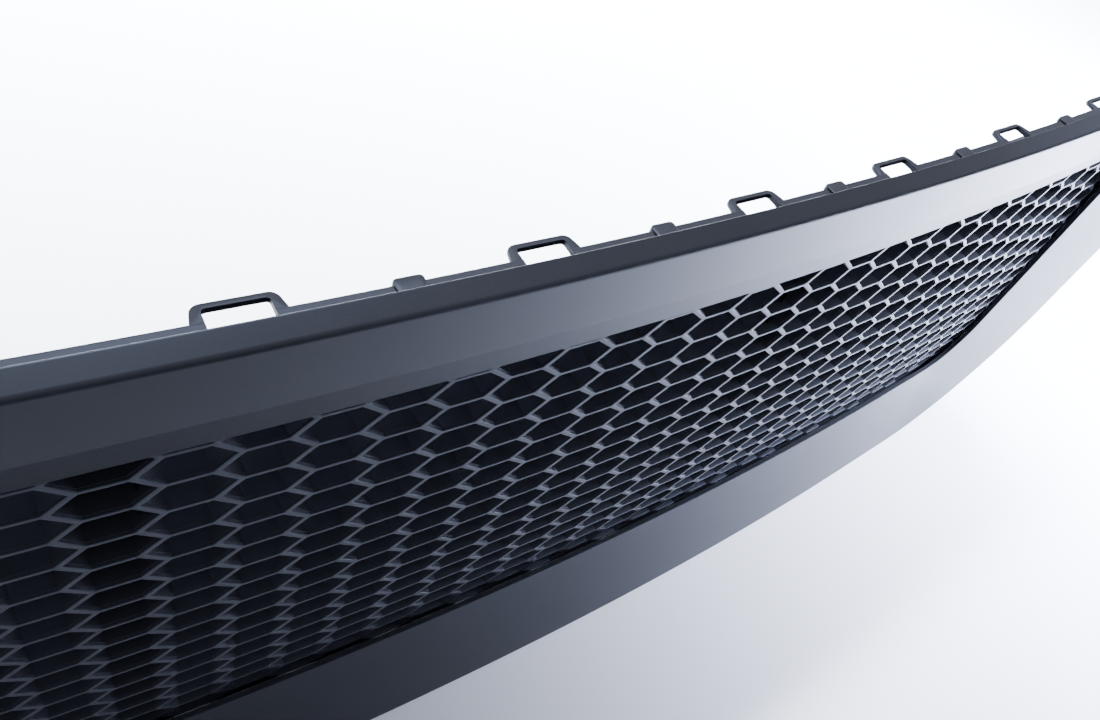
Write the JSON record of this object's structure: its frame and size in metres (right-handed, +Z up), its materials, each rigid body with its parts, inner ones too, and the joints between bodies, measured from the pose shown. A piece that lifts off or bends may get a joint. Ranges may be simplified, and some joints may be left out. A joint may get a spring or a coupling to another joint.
{
  "type": "front grille",
  "caption": "Bowed black front grille: a moulded surround, a honeycomb insert behind it, carriers with catch loops, stiffeners and fixings.",
  "frame": {"origin": "centre hole of the lower flange, on the flange's underside", "axes": "+X along the car's width, +Y towards the engine, +Z up; the grille faces -Y"},
  "size_m": [1.0698, 0.1101, 0.2601],
  "materials": {
    "surround_plastic": "satin moulded black, fine grain",
    "mesh_plastic": "satin moulded black",
    "carrier_plastic": "matte black, as moulded",
    "screw_steel": "black zinc",
    "nut_steel": "zinc plated spring steel",
    "sleeve_steel": "zinc plated",
    "foam": "closed-cell foam, matte"
  },
  "bodies": {
    "root": {"surround": "surround_plastic", "mesh_insert": "mesh_plastic", "upper_carrier": "carrier_plastic", "lower_carrier": "carrier_plastic", "left_end_carrier": "carrier_plastic", "right_end_carrier": "carrier_plastic", "left_u_nut": "nut_steel", "right_u_nut": "nut_steel", "left_pin_washer": "foam", "right_pin_washer": "foam", "centre_stiffener": "carrier_plastic", "left_stiffener": "carrier_plastic", "right_stiffener": "carrier_plastic", "upper_screws": "screw_steel", "lower_screws": "screw_steel", "left_end_screws": "screw_steel", "right_end_screws": "screw_steel", "stiffener_screws": "screw_steel", "lower_sleeves": "sleeve_steel", "lower_foam": "foam"}
  },
  "joints": []
}
